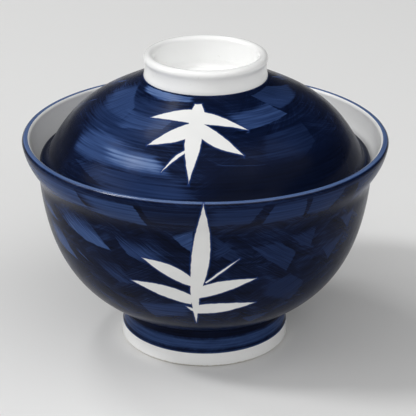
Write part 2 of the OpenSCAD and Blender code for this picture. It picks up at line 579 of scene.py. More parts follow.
@dataclass(frozen=True)
class Porcelain:
    """White glazed porcelain.

    Attributes:
        name: The material's name.
        bare_below: Height in millimetres under which the clay is left without glaze.
        bare_ragged: How far the glaze's end wanders up and down, mm.
        whites: The two whites that the glaze drifts between, over cloud_size millimetres.
        fleck_share: Noise values at which the specks start and are full.
        gloss: Lowest and highest roughness of the glaze.
        ring_spacing: Spacing of the potter's throwing rings, mm.
        skin_size: Size of the glaze's ripples, mm; skin_depth is their depth.
    """

    name: str
    bare_below: float = -1.0
    bare_ragged: float = 0.35
    whites: tuple[tuple, tuple] = ((0.89, 0.895, 0.89), (0.93, 0.93, 0.92))
    cloud_size: float = 14.0
    fleck_colour: tuple = (0.55, 0.52, 0.46)
    fleck_size: float = 0.9
    fleck_share: Point = (0.79, 0.84)
    fleck_strength: float = 0.15
    gloss: Point = (0.16, 0.26)
    clay: tuple = (0.62, 0.585, 0.52)
    clay_roughness: float = 0.75
    ring_spacing: float = 2.2
    skin_size: float = 3.5
    skin_depth: float = 0.04

    def material(self) -> bpy.types.Material:
        """Builds the material."""
        desk = MaterialDesk(self.name)
        place = desk.object_place()
        _, _, z = desk.split(place)
        white = desk.blend_colour(desk.grains(place, self.cloud_size), *self.whites)
        fleck = desk.step(desk.grains(place, self.fleck_size, 0.0), *self.fleck_share)
        fleck = desk.math("MULTIPLY", fleck, self.fleck_strength)
        colour = desk.blend_colour(fleck, white, self.fleck_colour)
        rough = desk.spread(desk.grains(place, 6.0, 3.0), *self.gloss)
        if self.bare_below > 0:
            ragged = desk.spread(desk.grains(place, 0.7), -self.bare_ragged, self.bare_ragged)
            end = self.bare_below - self.bare_ragged
            bare = desk.step(desk.math("ADD", z, ragged), self.bare_below, end)
            colour = desk.blend_colour(bare, colour, self.clay)
            rough = desk.blend(bare, rough, self.clay_roughness)
        rings = desk.streaks(desk.combine(0.0, z, 0.0), 0.0, 1.0, self.ring_spacing)
        skin = desk.grains(place, self.skin_size)
        normal = desk.bump(desk.math("ADD", skin, desk.math("MULTIPLY", rings, 0.5)), self.skin_depth * MM)
        return desk.finish(
            Base_Color=colour, Roughness=rough, Normal=normal, Coat_Normal=normal,
            Specular_IOR_Level=0.5, IOR=1.5, Coat_Weight=0.35, Coat_Roughness=0.06,
        )


LEAF_END = 0.3  # how far past its ends a leaf's outline is let run, mm


@dataclass(frozen=True)
class Leaf:
    """One bamboo leaf of a spray.

    Attributes:
        root: Where it starts on the spray's plane, in millimetres.
        tip: Where it ends.
        width: Its greatest width.
        plumpness: How full its root is, from 0 for pointed to 0.6 for cut off wide.
        bow: How far its middle is bent sideways, to the left of its direction.
    """

    root: Point
    tip: Point
    width: float
    plumpness: float
    bow: float

    @staticmethod
    def group() -> bpy.types.NodeTree:
        """Node group that joins one leaf to a spray: distance outside it, negative inside."""
        known = bpy.data.node_groups.get("bamboo_leaf")
        if known is not None:
            return known
        desk = GroupDesk(
            "bamboo_leaf", "Gap", ["Gap", "Reach", "Bow", "Open", "Swell", "Half width"],
            ["Place", "Root", "Along", "Across"],
        )
        given = desk.given
        carried = desk.vector_sum(given["Gap"], (0, 0, 1), given["Place"])
        gone = desk.vector("SUBTRACT", carried, given["Root"])
        along = desk.vector("DOT_PRODUCT", gone, given["Along"])
        across = desk.vector("DOT_PRODUCT", gone, given["Across"])
        share = desk.math("MINIMUM", desk.math("MAXIMUM", along, 0.0), 1.0)
        hump = desk.math("MULTIPLY", share, desk.math("SUBTRACT", 1.0, share))
        offset = desk.math("ABSOLUTE", desk.math("MULTIPLY_ADD", hump, given["Bow"], across))
        swell = desk.math("SINE", desk.math("MULTIPLY_ADD", share, given["Swell"], given["Open"]))
        sideways = desk.math("SUBTRACT", offset, desk.math("MULTIPLY", swell, given["Half width"]))
        overshoot = desk.math("ABSOLUTE", desk.math("SUBTRACT", along, share))
        beyond = desk.math("MULTIPLY_ADD", overshoot, given["Reach"], -LEAF_END)
        own = desk.math("MAXIMUM", sideways, beyond)
        return desk.end(desk.math("MINIMUM", own, given["Gap"]))

    def joined_to(self, desk: Desk, place: Value, gap: Value) -> Socket:
        """Distance outside this leaf and those before it.

        Args:
            desk: The material's desk.
            place: Place on the spray's plane in millimetres, with 0 for Z.
            gap: Distance outside the leaves before this one.

        Returns:
            The distance in millimetres, negative inside.
        """
        reach = math.dist(self.root, self.tip)
        ux, uy = (self.tip[0] - self.root[0]) / reach, (self.tip[1] - self.root[1]) / reach
        return desk.group(self.group(), {
            "Gap": gap, "Reach": reach, "Bow": -4 * self.bow, "Open": math.pi * self.plumpness,
            "Swell": math.pi * (1 - self.plumpness), "Half width": self.width / 2, "Place": place,
            "Root": (*self.root, 0), "Along": (ux / reach, uy / reach, 0), "Across": (-uy, ux, 0),
        })


@dataclass(frozen=True)
class Spray:
    """A bamboo spray that the brushwork leaves bare.

    Attributes:
        leaves: Its leaves, twig and stem.
        upright: Drawn on the upright plane X, Z; otherwise on the level plane X, Y.
        edge_waver: Length of the waves in the leaves' hand-cut edges, mm.
        front: Y at which the spray starts to end, and past which there is none, mm.
    """

    leaves: tuple[Leaf, ...]
    upright: bool
    edge_waver: float = 2.2
    front: Point = (-8.0, -4.0)

    def outside_by(self, desk: MaterialDesk) -> Socket:
        """How far a place lies outside every leaf.

        Args:
            desk: The material's desk.

        Returns:
            The distance in millimetres, negative in a leaf and large on the back half.
        """
        place = desk.object_place()
        place = desk.vector_sum(desk.wander(place, self.edge_waver), (0.5, 0.5, 0.5), place)
        x, y, z = desk.split(place)
        flat = desk.combine(x, z if self.upright else y, 0.0)
        gap: Value = FAR
        for leaf in self.leaves:
            gap = leaf.joined_to(desk, flat, gap)
        return desk.math("MULTIPLY_ADD", desk.step(y, *self.front), FAR, gap)


class Grain(Enum):
    """Directions in which the brush was drawn, in degrees on the unrolled coat."""

    LEVEL = 0.0
    FALLING = -38.0
    RISING = 34.0
    STEEP = -62.0


LEVEL, FALLING, RISING, STEEP = Grain
SHARP = 0.4     # fade of a crisp brush edge, mm
SOFT = 1.5      # fade past which an edge counts as soft, mm
SOFT_OUT = 0.35  # share of a soft edge's fade that lies outside the mark's corners
SOFT_TEAR = 0.45  # how far hairs tear a soft edge, as a share of its fade
CRISP_TEAR = 0.25  # how far hairs tear a crisp edge, mm
HAIR_GAIN, HAIR_LEAST = 0.28, 0.07  # how strongly hairs show: more in a paler mark, least in a dark one


@dataclass(frozen=True)
class Stroke:
    """One brush mark, bounded by straight edges, each sharp or fading.

    Attributes:
        corners: Degrees round from the front and millimetres along the outline, in order.
        fades: Width in millimetres over which each edge, from its corner to the next, fades.
        tone: Lightness of the mark, from 0 for thick navy to 1 for thin pale blue.
        grain: Direction in which it was drawn.
    """

    corners: tuple[Point, ...]
    fades: tuple[float, ...]
    tone: float
    grain: Grain

    @staticmethod
    def group(edges: int) -> bpy.types.NodeTree:
        """Node group that lays one mark over the tone under it.

        Args:
            edges: How many edges the mark has.

        Returns:
            The group, built once for each number of edges.
        """
        name = f"brush_mark_{edges}"
        known = bpy.data.node_groups.get(name)
        if known is not None:
            return known
        sides = [f"{part} {i}" for i in range(edges) for part in ("Start", "End", "Tear")]
        normals = [f"Normal {i}" for i in range(edges)]
        desk = GroupDesk(name, "Tone", ["Tone", "Hairs", "Level", "Gain", *sides], ["Place", *normals])
        given = desk.given
        carried = desk.vector_sum(given["Tone"], (0, 0, 1), given["Place"])
        share = None
        for i in range(edges):
            inside = desk.vector("DOT_PRODUCT", carried, given[f"Normal {i}"])
            torn = desk.math("MULTIPLY_ADD", given["Hairs"], given[f"Tear {i}"], inside)
            side = desk.step(torn, given[f"Start {i}"], given[f"End {i}"])
            share = side if share is None else desk.math("MULTIPLY", share, side)
        laid = desk.blend(share, given["Tone"], given["Level"])
        hairs = desk.math("MULTIPLY", given["Hairs"], share)
        return desk.end(desk.math("MULTIPLY_ADD", hairs, given["Gain"], laid))

    def laid_on(
        self, desk: Desk, tone: Value, place: Value, hairs: Value, reference_r: float
    ) -> Socket:
        """Tone with this mark laid over it.

        Args:
            desk: The material's desk.
            tone: The tone under the mark.
            place: Place on the unrolled coat in millimetres, with 0 for Z.
            hairs: Brush hairs from -0.5 to 0.5, which tear the fading edges.
            reference_r: Radius in millimetres at which the unrolled coat keeps true widths.

        Returns:
            The new tone.
        """
        points = [(math.radians(angle) * reference_r, along) for angle, along in self.corners]
        pairs = list(zip(points, points[1:] + points[:1]))
        turn_sign = math.copysign(1, sum(a[0] * b[1] - b[0] * a[1] for a, b in pairs))
        gain = HAIR_GAIN * self.tone + HAIR_LEAST
        inputs = {"Tone": tone, "Hairs": hairs, "Level": self.tone, "Gain": gain, "Place": place}
        for i, ((a, b), fade) in enumerate(zip(pairs, self.fades)):
            reach = math.dist(a, b)
            nx, ny = (a[1] - b[1]) * turn_sign / reach, (b[0] - a[0]) * turn_sign / reach
            out, tear = (SOFT_OUT * fade, SOFT_TEAR * fade) if fade > SOFT else (0, CRISP_TEAR)
            start = a[0] * nx + a[1] * ny - out
            side = {"Normal": (nx, ny, 0), "Start": start, "End": start + fade, "Tear": tear}
            inputs |= {f"{part} {i}": value for part, value in side.items()}
        return desk.group(self.group(len(self.corners)), inputs)


@dataclass(frozen=True)
class StrokeScatter:
    """Brush marks strewn over the sides and back, away from the strokes listed for the front.

    Attributes:
        seed: Seed of the draws.
        rows: Height of each row along the outline in millimetres.
        spacing: Distance between marks in a row, in degrees.
        length: Shortest and longest mark in millimetres.
        width: Narrowest and widest mark in millimetres.
        clear: Angle either side of the front that stays free, in degrees.
        reference_r: Radius in millimetres at which the unrolled coat keeps true widths.
        fall: Least and greatest slope of a mark, in degrees.
        tone: Darkest and palest mark.
        slant: Least and greatest lean of a mark's end, across over along.
        stray: How far a mark lies off its row at most, mm.
        fades: Fades of a mark's four edges, from its lower end, mm.
        seam: Angle either side of the front past which the seam begins, in degrees.
    """

    seed: int
    rows: tuple[float, ...]
    spacing: float
    length: Point
    width: Point
    clear: float
    reference_r: float
    fall: Point = (22, 50)
    tone: Point = (0.3, 0.68)
    slant: Point = (0.3, 1.1)
    stray: float = 3
    fades: tuple[float, ...] = (SHARP, 5.0, 9.0, SHARP)
    seam: float = 179

    def strokes(self) -> list[Stroke]:
        """Draws the marks, none of them across the seam at the back."""
        draw = random.Random(self.seed)
        made = []
        for row in self.rows:
            angle = -180 + self.spacing * draw.uniform(0.3, 0.8)
            while angle < 180:
                side = -1 if angle < 0 else 1
                fall = math.radians(draw.uniform(*self.fall))
                length, width = draw.uniform(*self.length), draw.uniform(*self.width)
                slant = draw.uniform(*self.slant)
                tone = draw.uniform(*self.tone)
                tip = row + draw.uniform(-self.stray, self.stray)
                degrees = math.degrees(1 / self.reference_r)
                back = (side * length * math.cos(fall), length * math.sin(fall))
                top = (side * width * slant, width)
                corners = [(0, 0), top, (top[0] + back[0], top[1] + back[1]), back]
                placed = tuple((angle + dx * degrees, tip + dy) for dx, dy in corners)
                turned = [abs(a) for a, _ in placed]
                if self.clear < min(turned) and max(turned) < self.seam:
                    made.append(Stroke(placed, self.fades, tone, RISING if side > 0 else FALLING))
                angle += self.spacing * draw.uniform(0.75, 1.25)
        return made


@dataclass(frozen=True)
class Band:
    """A stretch along the outline with its own tone, such as the lip.

    Attributes:
        low: Where it starts, in millimetres along the outline.
        high: Where it ends.
        fade: Width of its edges.
        tone: Its lightness.
        strength: How much of what lies under it it covers, 0 to 1.
    """

    low: float
    high: float
    fade: float
    tone: float
    strength: float = 1.0

    def laid_on(self, desk: Desk, tone: Value, along: Value, hairs: Value) -> Socket:
        """Tone with this band laid over it.

        Args:
            desk: The material's desk.
            tone: The tone under the band.
            along: Length along the outline in millimetres.
            hairs: Brush hairs from -0.5 to 0.5.

        Returns:
            The new tone.
        """
        rise = desk.step(along, self.low, self.low + self.fade)
        fall = desk.step(along, self.high, self.high - self.fade)
        share = desk.math("MULTIPLY", desk.math("MULTIPLY", rise, fall), self.strength)
        return desk.blend(share, tone, desk.math("MULTIPLY_ADD", hairs, BAND_HAIRS, self.tone))


# The blue's colour at each lightness, linear. The palest stop is partly thin pale cobalt and partly whitened
# so that the painted highlights on the lid and the lip read whiter.
COBALT_COLOURS = (
    (0.0, (0.0014, 0.0028, 0.010)),
    (0.2, (0.0034, 0.0075, 0.028)),
    (0.45, (0.0150, 0.0320, 0.098)),
    (0.7, (0.0380, 0.0760, 0.200)),
    (1.0, (0.1250, 0.1950, 0.375)),
)
BARE_WHITES = ((0.72, 0.725, 0.72), (0.77, 0.77, 0.76))  # porcelain in the leaves
HALO_BLUE = (0.012, 0.036, 0.15)  # cobalt gathered round a bare leaf
HALO = (0.75, 0.15)               # mm outside a leaf where it starts and is full
HALO_STRENGTH = 0.75
LEAF_EDGE = 0.14                  # half the width over which the blue ends at a leaf, mm
HAIR = (13.0, 0.38)               # length and spacing of slanting hairs, mm
SWATHE = (17.0, 5.0)              # length and width of slanting swathes, mm
LEVEL_SPACING = 0.75              # spacing of level hairs, mm
LEVEL_BREAKS = 2.2                # how often level hairs break, per radian round the piece
WAVER, WAVER_SIDEWAYS = 4.5, 1.1  # length and size of the hand's waver, mm
PATCH = 10.0                      # size of the patches that share one slant, mm
PATCH_EDGE = (0.46, 0.54)         # noise values between which one slant turns into the other
GROUND_HAIRS, BAND_HAIRS = 0.14, 0.22  # how strongly level hairs show in the ground and in bands
COAT_GLOSS = (0.20, 0.27)         # lowest and highest roughness of the coat
GLOSS_FADE = 0.6                  # width over which the thicker glaze sets in, mm
COAT_SKIN, COAT_SKIN_DEPTH = 5.0, 0.05  # size and depth of the coat's ripples, mm


@dataclass(frozen=True)
class CobaltBrushwork:
    """Cobalt blue laid on with a broad brush under a clear glaze.

    Attributes:
        name: The material's name.
        reference_r: Radius in millimetres at which the unrolled coat keeps true widths.
        strokes: The brush marks, in the order in which they were laid.
        bands: Stretches with their own tone, laid after the marks.
        spray: The spray left bare, or None.
        ground: Lightness of the ground under the marks.
        weave: Strength of the slanting hairs and swathes in the ground.
        gloss_from: Length along the outline past which the glaze lies thicker and shines more.
    """

    name: str
    reference_r: float
    strokes: tuple[Stroke, ...]
    bands: tuple[Band, ...]
    spray: Spray | None
    ground: float
    weave: float = 0.22
    gloss_from: float = FAR

    def tone(self, desk: MaterialDesk) -> Socket:
        """Lightness of the blue at a place.

        Args:
            desk: The material's desk.

        Returns:
            The lightness, from 0 for thick navy to 1 for thin pale blue.
        """
        place, unrolled = desk.object_place(), desk.unrolled_place()
        x, y, _ = desk.split(place)
        _, along, _ = desk.split(unrolled)
        round_x, round_y, _ = desk.split(desk.vector("NORMALIZE", desk.combine(x, y, 0.0)))
        seamless = desk.combine(
            desk.math("MULTIPLY", round_x, LEVEL_BREAKS), desk.math("MULTIPLY", round_y, LEVEL_BREAKS),
            desk.math("MULTIPLY", along, 1 / LEVEL_SPACING),
        )
        drawn = desk.vector_sum(desk.wander(place, WAVER), (WAVER_SIDEWAYS, WAVER_SIDEWAYS, 0), unrolled)
        hairs = {LEVEL: desk.spread(desk.grains(seamless, 1.0, 3.0), -0.5, 0.5)}
        for grain in (FALLING, RISING, STEEP):
            hairs[grain] = desk.spread(desk.streaks(drawn, grain.value, *HAIR), -0.5, 0.5)
        swathes = [desk.streaks(drawn, grain.value, *SWATHE) for grain in (FALLING, RISING)]
        swathes = [desk.spread(swathe, -0.5, 0.5) for swathe in swathes]
        patch = desk.step(desk.grains(place, PATCH, 1.0), *PATCH_EDGE)
        tone = desk.math("MULTIPLY_ADD", hairs[LEVEL], GROUND_HAIRS, self.ground)
        for falling, rising in ((hairs[FALLING], hairs[RISING]), swathes):
            tone = desk.math("MULTIPLY_ADD", desk.blend(patch, falling, rising), self.weave, tone)
        for stroke in self.strokes:
            tone = stroke.laid_on(desk, tone, drawn, hairs[stroke.grain], self.reference_r)
        for band in self.bands:
            tone = band.laid_on(desk, tone, along, hairs[LEVEL])
        return desk.math("MINIMUM", desk.math("MAXIMUM", tone, 0.0), 1.0)

    def material(self) -> bpy.types.Material:
        """Builds the material."""
        desk = MaterialDesk(self.name)
        colour = desk.ramp(self.tone(desk), COBALT_COLOURS)
        place = desk.object_place()
        rough = desk.spread(desk.grains(place, 3.0, 3.0), *COAT_GLOSS)
        glossy: Value = 0.0
        if self.gloss_from < FAR:
            _, along, _ = desk.split(desk.unrolled_place())
            glossy = desk.step(along, self.gloss_from, self.gloss_from + GLOSS_FADE)
        if self.spray is not None:
            gap = self.spray.outside_by(desk)
            halo = desk.math("MULTIPLY", desk.step(gap, *HALO), HALO_STRENGTH)
            colour = desk.blend_colour(halo, colour, HALO_BLUE)
            white = desk.blend_colour(desk.grains(place, 7.0), *BARE_WHITES)
            colour = desk.blend_colour(desk.step(gap, LEAF_EDGE, -LEAF_EDGE), colour, white)
        normal = desk.bump(desk.grains(place, COAT_SKIN), COAT_SKIN_DEPTH * MM)
        return desk.finish(
            Base_Color=colour, Roughness=rough, Normal=normal, Coat_Normal=normal,
            Specular_IOR_Level=0.04, IOR=1.5, Coat_Weight=glossy, Coat_Roughness=0.2,
        )


@dataclass(frozen=True)
class Tabletop:
    """Plain pale matt surface that the bowl stands on."""

    name: str = "pale_tabletop"
    colour: tuple[float, float, float] = (0.80, 0.80, 0.795)
    dim_share: float = 0.985   # of the colour, where it is dimmest
    cloud_size: float = 160.0  # of the dim clouds, mm

    def material(self) -> bpy.types.Material:
        """Builds the material."""
        desk = MaterialDesk(self.name)
        dim = tuple(self.dim_share * part for part in self.colour)
        colour = desk.blend_colour(desk.grains(desk.object_place(), self.cloud_size), dim, self.colour)
        return desk.finish(Base_Color=colour, Roughness=0.85, Specular_IOR_Level=0.15)


# ---------------------------------------------------------------- the brushwork itself

# Most numbers of the leaves and of the front strokes were worked out by separate fitting programs and
# rounded to 0.1 mm; some were then shifted by hand.

BOWL_REFERENCE_R = 50.0   # mm
LID_REFERENCE_R = 36.0    # mm

BOWL_SPRAY = Spray(
    leaves=(
        Leaf((-2.8, 42.4), (-0.5, 76.4), 5.8, 0.2, -0.6),     # tall middle leaf
        Leaf((-3.8, 44.8), (-20.4, 53.2), 4.6, 0.2, -0.7),    # upper left
        Leaf((-4.2, 37.4), (-24.0, 43.0), 5.0, 0.27, -0.75),  # lower left
        Leaf((-2.3, 40.6), (16.7, 45.7), 5.0, 0.33, 0.55),    # upper right
        Leaf((-2.5, 33.0), (16.6, 34.8), 4.7, 0.35, 0.0),     # lower right
        Leaf((0.6, 45.4), (11.0, 54.1), 0.75, 0.2, 0.15),      # thin twig
        Leaf((-3.2, 46.5), (-2.7, 25.6), 2.9, 0.42, -0.1),    # stem
        Leaf((-3.4, 32.4), (-6.0, 34.2), 1.1, 0.3, 0.0),      # short spur
    ),
    upright=True,
)

LID_SPRAY = Spray(
    leaves=(
        Leaf((-3.3, -29.5), (-18.0, -26.9), 5.4, 0.5, 0.0),    # upper left
        Leaf((-3.3, -29.8), (13.8, -33.3), 5.4, 0.55, 0.1),    # upper right
        Leaf((-3.4, -34.2), (-18.7, -37.7), 5.2, 0.33, 0.65),  # lower left
        Leaf((-1.9, -34.5), (12.3, -42.4), 5.1, 0.33, -1.0),   # lower right
        Leaf((-3.2, -33.0), (-5.3, -49.9), 5.4, 0.25, 0.0),    # lower middle
        Leaf((-6.4, -42.3), (-14.0, -46.4), 0.9, 0.3, -0.2),   # thin twig
        Leaf((-2.4, -24.9), (-3.2, -38.5), 5.6, 0.13, 0.0),     # stem
    ),
    upright=False,
)

FRONT_CLEAR = 62.0  # degrees either side of the front that hold the strokes listed below

BOWL_FRONT_STROKES = (
    # Level strokes round the flared band, from the left.
    Stroke(((-84, 75.8), (-41.7, 75.6), (-37.8, 67.8), (-84, 62.5)),
           (SHARP, SHARP, 1.4, 9.0), 0.54, LEVEL),
    Stroke(((-40.5, 75.6), (-20.8, 74.8), (-17.6, 65.2), (-37.5, 66.6)),
           (SHARP, SHARP, 1.2, 6.0), 0.54, LEVEL),
    Stroke(((-19.5, 75.4), (-1.5, 75.2), (-2.2, 68.2), (-16.5, 67.6)),
           (SHARP, 2.0, 2.0, SHARP), 0.24, LEVEL),
    Stroke(((1.0, 75.6), (17.6, 76.0), (13.4, 67.4), (1.0, 67.2)), (SHARP, SHARP, 1.2, 4.0), 0.36, LEVEL),
    Stroke(((20.2, 75.6), (31.0, 75.8), (31.6, 67.2), (17.2, 66.4)),
           (SHARP, SHARP, 1.0, SHARP), 0.41, LEVEL),
    Stroke(((32.6, 75.6), (46.5, 75.4), (41.6, 66.8), (32.2, 67.2)),
           (SHARP, SHARP, 1.0, SHARP), 0.38, LEVEL),
    Stroke(((52.0, 75.6), (84.0, 75.8), (84.0, 63.0), (54.0, 65.0)),
           (SHARP, 9.0, 2.0, SHARP), 0.38, LEVEL),
    # Wedges on the left of the body, tips pointing down to the right.
    Stroke(((-78, 59.5), (-65, 58.4), (-59.0, 53.9), (-72, 55.8)),
           (3.0, SHARP, SHARP, 7.0), 0.6, FALLING),
    Stroke(((-54, 63.0), (-39.3, 59.2), (-32.2, 52.0), (-44.5, 53.1), (-56, 57.2)),
           (6.0, SHARP, SHARP, SHARP, 9.0), 0.66, FALLING),
    Stroke(((-68, 53.5), (-58.1, 51.0), (-50.6, 41.8), (-58, 43.2), (-68, 46.5)),
           (4.0, SHARP, SHARP, SHARP, 7.0), 0.62, FALLING),
    Stroke(((-30.4, 58.0), (-15.0, 57.0), (-14.0, 51.0), (-20.6, 50.0), (-26.4, 52.4)),
           (6.0, 7.0, 4.0, SHARP, SHARP), 0.5, FALLING),
    Stroke(((-10.6, 61.8), (-3.6, 64.4), (-3.6, 55.6), (-7.4, 58.2)),
           (2.0, SHARP, SHARP, SHARP), 0.6, RISING),
    Stroke(((-49.0, 47.8), (-41.4, 42.8), (-43.8, 43.8), (-51.0, 46.6)),
           (SHARP, SHARP, SHARP, 3.0), 0.5, FALLING),
    Stroke(((-42.0, 46.0), (-29.0, 47.0), (-25.8, 40.6), (-32.2, 38.8)),
           (5.0, 5.0, SHARP, 1.4), 0.34, FALLING),
    Stroke(((-38.0, 44.4), (-33.0, 43.6), (-24.0, 40.0), (-32.6, 39.4)),
           (2.0, SHARP, SHARP, 4.0), 0.42, FALLING),
    Stroke(((-26.0, 31.4), (-5.2, 34.0), (-5.2, 27.6), (-20.6, 22.4)),
           (2.0, 4.0, 3.0, SHARP), 0.42, LEVEL),
    Stroke(((-54.0, 37.0), (-32.0, 24.0), (-26.0, 14.6), (-46.0, 27.0)),
           (5.0, 6.0, 3.0, 6.0), 0.36, FALLING),
    # Crossed marks on the right of the body.
    Stroke(((1.6, 64.6), (11.8, 54.2), (9.6, 51.4), (1.6, 56.6)), (SHARP, 1.4, SHARP, 4.0), 0.3, FALLING),
    Stroke(((2.2, 56.0), (7.0, 60.8), (9.4, 57.8), (4.0, 52.8)), (SHARP, 3.0, SHARP, 3.0), 0.34, RISING),
    Stroke(((13.8, 57.6), (24.8, 58.2), (31.8, 52.4), (28.9, 44.2), (21.4, 51.2)),
           (2.0, SHARP, SHARP, SHARP, SHARP), 0.33, FALLING),
    Stroke(((28.7, 59.2), (39.2, 60.2), (37.6, 52.6), (33.1, 54.4)),
           (3.0, SHARP, SHARP, SHARP), 0.31, FALLING),
    Stroke(((43.3, 50.2), (56.0, 54.2), (48.0, 44.2)), (2.0, SHARP, SHARP), 0.34, RISING),
    Stroke(((50.4, 60.0), (60.0, 60.2), (57.0, 53.2)), (2.0, SHARP, SHARP), 0.38, RISING),
    Stroke(((20.4, 41.4), (31.1, 44.0), (38.6, 38.0), (35.0, 29.6), (21.0, 35.0)),
           (2.0, SHARP, SHARP, 3.0, 4.0), 0.29, RISING),
    Stroke(((14.8, 24.4), (28.6, 25.6), (21.0, 17.8)), (1.4, 2.0, SHARP), 0.36, RISING),
)

LID_FRONT_STROKES = (
    # Broad pale wash on the left, then the marks on it, among them painted highlights.
    Stroke(((-100, 6.0), (-14, 4.0), (-10, 24.0), (-62, 30.0)), (7.0, 8.0, 8.0, 9.0), 0.36, LEVEL),
    Stroke(((-88, 11.0), (-74.3, 2.0), (-50.0, 10.0), (-49.6, 17.2), (-74, 17.0)),
           (5.0, 1.0, SHARP, 4.0, 6.0), 0.54, STEEP),
    # Pale level streak round the foot of the grip ring: partly thin cobalt, partly a painted highlight where
    # the lamp reflects under the ring.
    Stroke(((-64, 0.4), (-10, 0.6), (-10, 3.0), (-38, 4.4), (-60, 3.4)),
           (SHARP, 3.0, SHARP, 1.0, 4.0), 0.8, LEVEL),
    Stroke(((-54, 12.2), (-19, 11.6), (-23, 16.8), (-48, 20.4)), (2.0, SHARP, SHARP, 5.0), 0.54, LEVEL),
    # Broad pale stroke across the left of the dome: pale cobalt with a painted highlight laid into it where
    # the key lamp reflects.
    Stroke(((-66, 27.0), (-54, 22.6), (-20, 27.4), (-12, 34.2), (-32, 35.0), (-66, 34.6)),
           (6.0, 2.4, 3.0, 3.0, 3.0, 6.0), 0.6, LEVEL),
    # Its palest middle: a painted highlight, the bright core of the key lamp's reflection on the dome.
    Stroke(((-46, 28.0), (-20, 28.4), (-16, 33.0), (-42, 32.6)), (3.0, 4.0, 3.0, 5.0), 0.93, LEVEL),
    Stroke(((-59.0, 36.6), (-46, 35.0), (-26, 36.0), (-39, 41.5)),
           (SHARP, 4.0, 4.0, SHARP), 0.36, FALLING),
    Stroke(((-46, 34.0), (-6, 34.0), (-4, 44.0), (-40, 44.0)), (5.0, 6.0, 4.0, 7.0), 0.42, LEVEL),
    Stroke(((14, 8.6), (48, 7.0), (54.0, 14.8), (44, 15.4), (19, 17.4)),
           (3.0, SHARP, SHARP, SHARP, 4.0), 0.54, LEVEL),
    Stroke(((40.2, 2.2), (66, 1.0), (94, 8.0), (80, 11.8), (53.6, 12.0)),
           (SHARP, SHARP, 4.0, 1.2, SHARP), 0.46, RISING),
    Stroke(((28.7, 19.4), (56.5, 18.4), (54.2, 27.9), (40.3, 32.2), (23.6, 29.0)),
           (1.2, SHARP, SHARP, 3.0, 3.0), 0.27, LEVEL),
    Stroke(((19.6, 17.9), (23.8, 18.2), (22.4, 16.9)), (SHARP, SHARP, SHARP), 0.5, LEVEL),
    Stroke(((4.0, 29.6), (24.6, 31.0), (24.6, 30.4), (4.0, 28.8)),
           (SHARP, SHARP, SHARP, 2.0), 0.4, LEVEL),
    # Thick dark cobalt low on the right and at the far left.
    Stroke(((1.0, 31.0), (70, 30.0), (84, 44.0), (1.0, 44.0)), (6.0, 8.0, 1.0, 6.0), 0.08, LEVEL),
    Stroke(((-104, 29.0), (-66, 28.0), (-62, 37.0), (-65, 44.0), (-104, 44.0)),
           (4.0, 3.0, 3.0, 1.0, 4.0), 0.08, LEVEL),
)

BOWL_SCATTER = StrokeScatter(
    seed=11, rows=(18.0, 30.0, 41.0, 51.0, 60.0), spacing=27.0, length=(14.0, 24.0), width=(6.0, 12.0),
    clear=FRONT_CLEAR, reference_r=BOWL_REFERENCE_R,
)
LID_SCATTER = StrokeScatter(
    seed=5, rows=(4.0, 14.0, 24.0, 34.0), spacing=32.0, length=(13.0, 22.0), width=(6.0, 11.0),
    clear=FRONT_CLEAR + 16, reference_r=LID_REFERENCE_R,
)


# ---------------------------------------------------------------- the pieces


